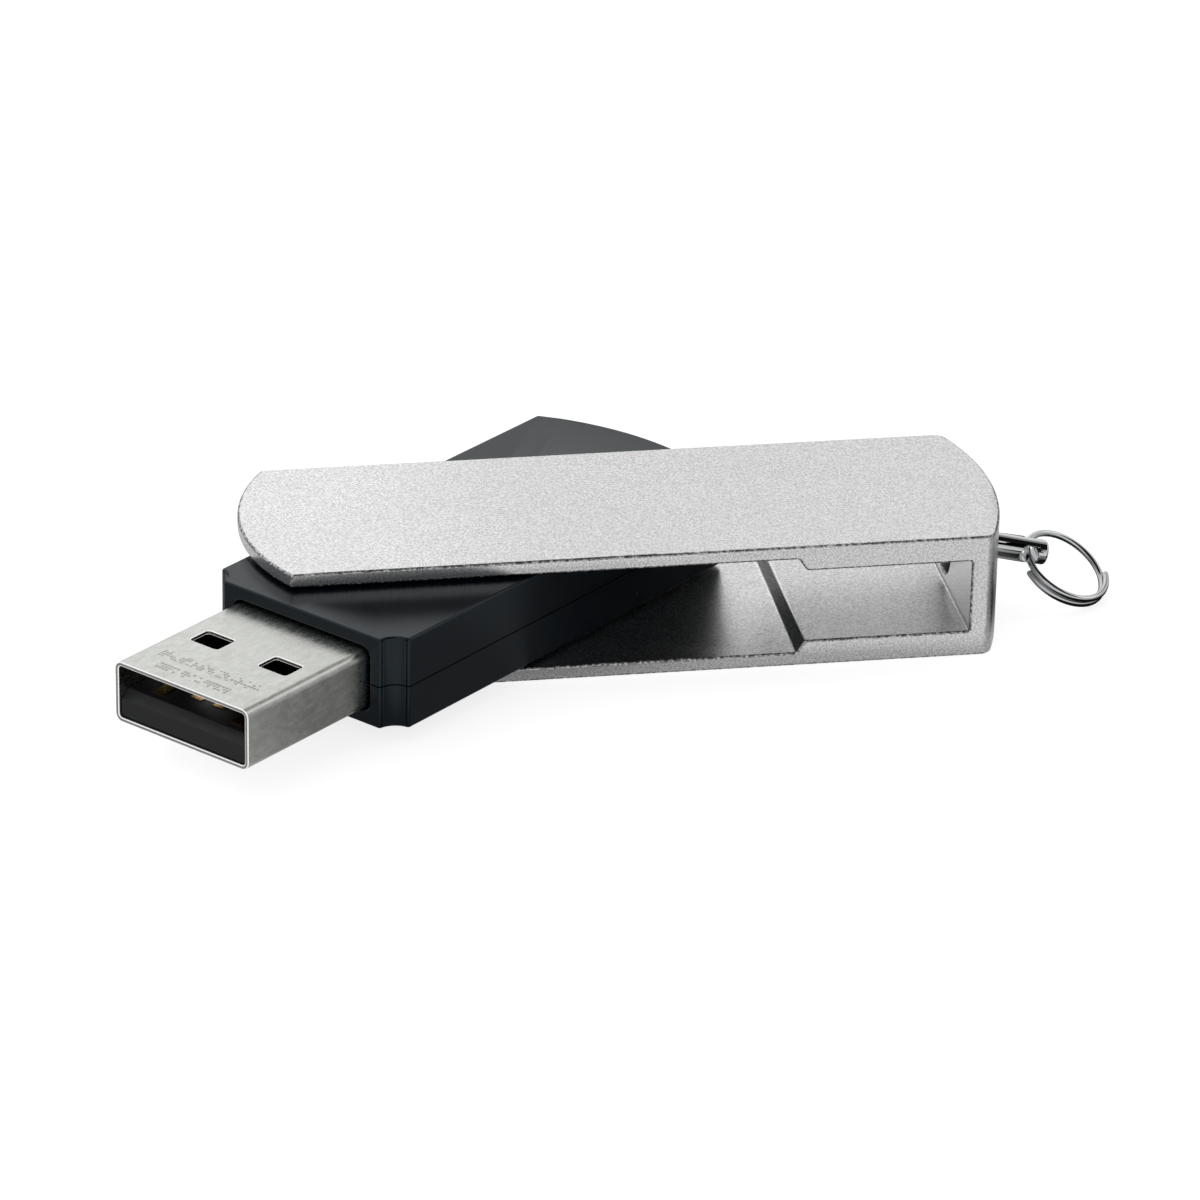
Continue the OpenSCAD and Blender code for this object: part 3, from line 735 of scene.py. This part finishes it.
floor_mesh = bpy.data.meshes.new("floor")
sheet = bmesh.new()
bmesh.ops.create_grid(sheet, x_segments=1, y_segments=1, size=TABLE_HALF)
sheet.to_mesh(floor_mesh)
sheet.free()
floor = bpy.data.objects.new("floor", floor_mesh)
bpy.context.scene.collection.objects.link(floor)
floor_paint, floor_surface = new_finish("floor_paint", TABLE_PAINT, 0.0, 0.9)
floor_surface.inputs["Specular IOR Level"].default_value = 0.0
floor_surface.inputs["Emission Color"].default_value = WHITE
floor_surface.inputs["Emission Strength"].default_value = TABLE_GLOW
floor_mesh.materials.append(floor_paint)
floor.visible_glossy = False
floor.visible_diffuse = False
print("table laid,", 2 * TABLE_HALF, "m across")

# %% [markdown]
# ## Shade cards
#
# Close to the object the table lies in its shade, and the low shiny faces mirror
# that. Three dark cards on the table, seen only by reflections, bring the shade
# back: one in front of the swung body, a narrow one along the cover, and one
# under the ring. Each fades out towards its rim, and each lies a little deeper
# than the one before, because cards at one height would hide each other.

# %% Paint for a shade card
FULL_SHADE = 0.45


def fading_shade(name, centre, half_sizes, brightness):
    material = bpy.data.materials.new(name)
    material.use_nodes = True
    nodes = material.node_tree.nodes
    nodes.remove(nodes["Principled BSDF"])
    clear = add(material, "BsdfTransparent")
    dark = add(material, "Emission", {"Strength": 1.0, "Color": grey(brightness)})
    place = add(material, "TexCoord")
    mapping = add(material, "Mapping", {
        "Location": (-centre[0] / half_sizes[0], -centre[1] / half_sizes[1], 0),
        "Scale": (1 / half_sizes[0], 1 / half_sizes[1], 0)})
    fade = add(material, "TexGradient", gradient_type="SPHERICAL")
    mix = add(material, "MixShader")
    join(material, place.outputs["Object"], mapping.inputs["Vector"])
    join(material, mapping.outputs["Vector"], fade.inputs["Vector"])
    join(material, remap(material, fade.outputs["Fac"], 0, 1, 0.0, FULL_SHADE),
         mix.inputs["Fac"])
    join(material, clear.outputs[0], mix.inputs[1])
    join(material, dark.outputs[0], mix.inputs[2])
    join(material, mix.outputs[0], nodes["Material Output"].inputs["Surface"])
    return material


print("helper: fading_shade")

# %% [markdown]
# ## Lay the shade cards
#
# Each card needs only its middle, its half sizes and its grey. The middles
# follow the cover's near side and the ring, so the shade stays with them.

# %% Lay the shade cards
FRONT_Y = COVER_LOW.y
SHADE_CARDS = (
    # name, middle, half sizes, brightness, drop below the table
    ("shade_in_front_of_body", (0, FRONT_Y - 7 * MM),
     (22 * MM, 10.5 * MM), 0.20, 0.01 * MM),
    ("shade_along_cover", (12 * MM, FRONT_Y),
     (40 * MM, 4 * MM), 0.40, 0.02 * MM),
    ("shade_of_ring", (RING_MIDDLE.x + 2 * MM, RING_MIDDLE.y - 4 * MM),
     (9 * MM, 11 * MM), 0.01, 0.03 * MM),
)
for name, centre, half_sizes, brightness, drop in SHADE_CARDS:
    card_for_reflections(name, [
        Vector((centre[0] + x * half_sizes[0], centre[1] + y * half_sizes[1], -drop))
        for x, y in ((-1, -1), (1, -1), (1, 1), (-1, 1))],
        fading_shade(name, centre, half_sizes, brightness))

# %% [markdown]
# ## Finishes for the parts inside
#
# The circuit board and its parts can't be seen in the closed body, but they are
# part of the model, so each still gets a finish that suits it. One helper makes
# them all: two close colours mixed by a noise, and the same noise as fine bumps.
# The parts keep their CAD shapes, and only their materials are replaced.

# %% Inner finishes
def speckled(name, first, second, metallic, roughness, scale, depth):
    material, surface = new_finish(name, first, metallic, roughness)
    pattern = noise(material, scale, 4.0, 0.65)
    join(material, tint(material, remap(material, pattern, 0, 1), first, second),
         surface.inputs["Base Color"])
    join(material, remap(material, pattern, roughness * 0.8, roughness * 1.2),
         surface.inputs["Roughness"])
    bump(material, surface, pattern, depth)
    return material


INNER = {
    "gold_contact": speckled("gold_contact", (0.45, 0.27, 0.09), (0.62, 0.40, 0.16),
                             1.0, 0.16, 2500, 0.002 * MM),
    "board_laminate": speckled("board_laminate", (0.010, 0.10, 0.035),
                               (0.020, 0.16, 0.060), 0.0, 0.30, 1500, 0.010 * MM),
    "solder": speckled("solder", (0.62, 0.63, 0.64), (0.80, 0.81, 0.82),
                       1.0, 0.28, 2200, 0.010 * MM),
    "chip_resin": speckled("chip_resin", (0.018, 0.018, 0.020), (0.035, 0.035, 0.037),
                           0.0, 0.60, 5000, 0.008 * MM),
    "capacitor_body": speckled("capacitor_body", (0.36, 0.25, 0.14),
                               (0.48, 0.36, 0.22), 0.0, 0.45, 3000, 0.006 * MM),
}
SLOT_OF = {
    "contact_power": "gold_contact", "contact_data_minus": "gold_contact",
    "contact_data_plus": "gold_contact", "contact_ground": "gold_contact",
    "circuit_board": "board_laminate", "board_solder": "solder",
    "flash_chip": "chip_resin", "flash_chip_leads": "solder",
    "controller_chip": "chip_resin", "controller_leads": "solder",
    "crystal": "solder", "voltage_regulator": "chip_resin",
    "regulator_leads": "solder", "capacitors": "capacitor_body",
    "resistors": "chip_resin",
}
for name, slot in SLOT_OF.items():
    part = frame["nodes"][name]
    part.data.materials.clear()
    part.data.materials.append(INNER[slot])
print("inner parts finished:", len(SLOT_OF))
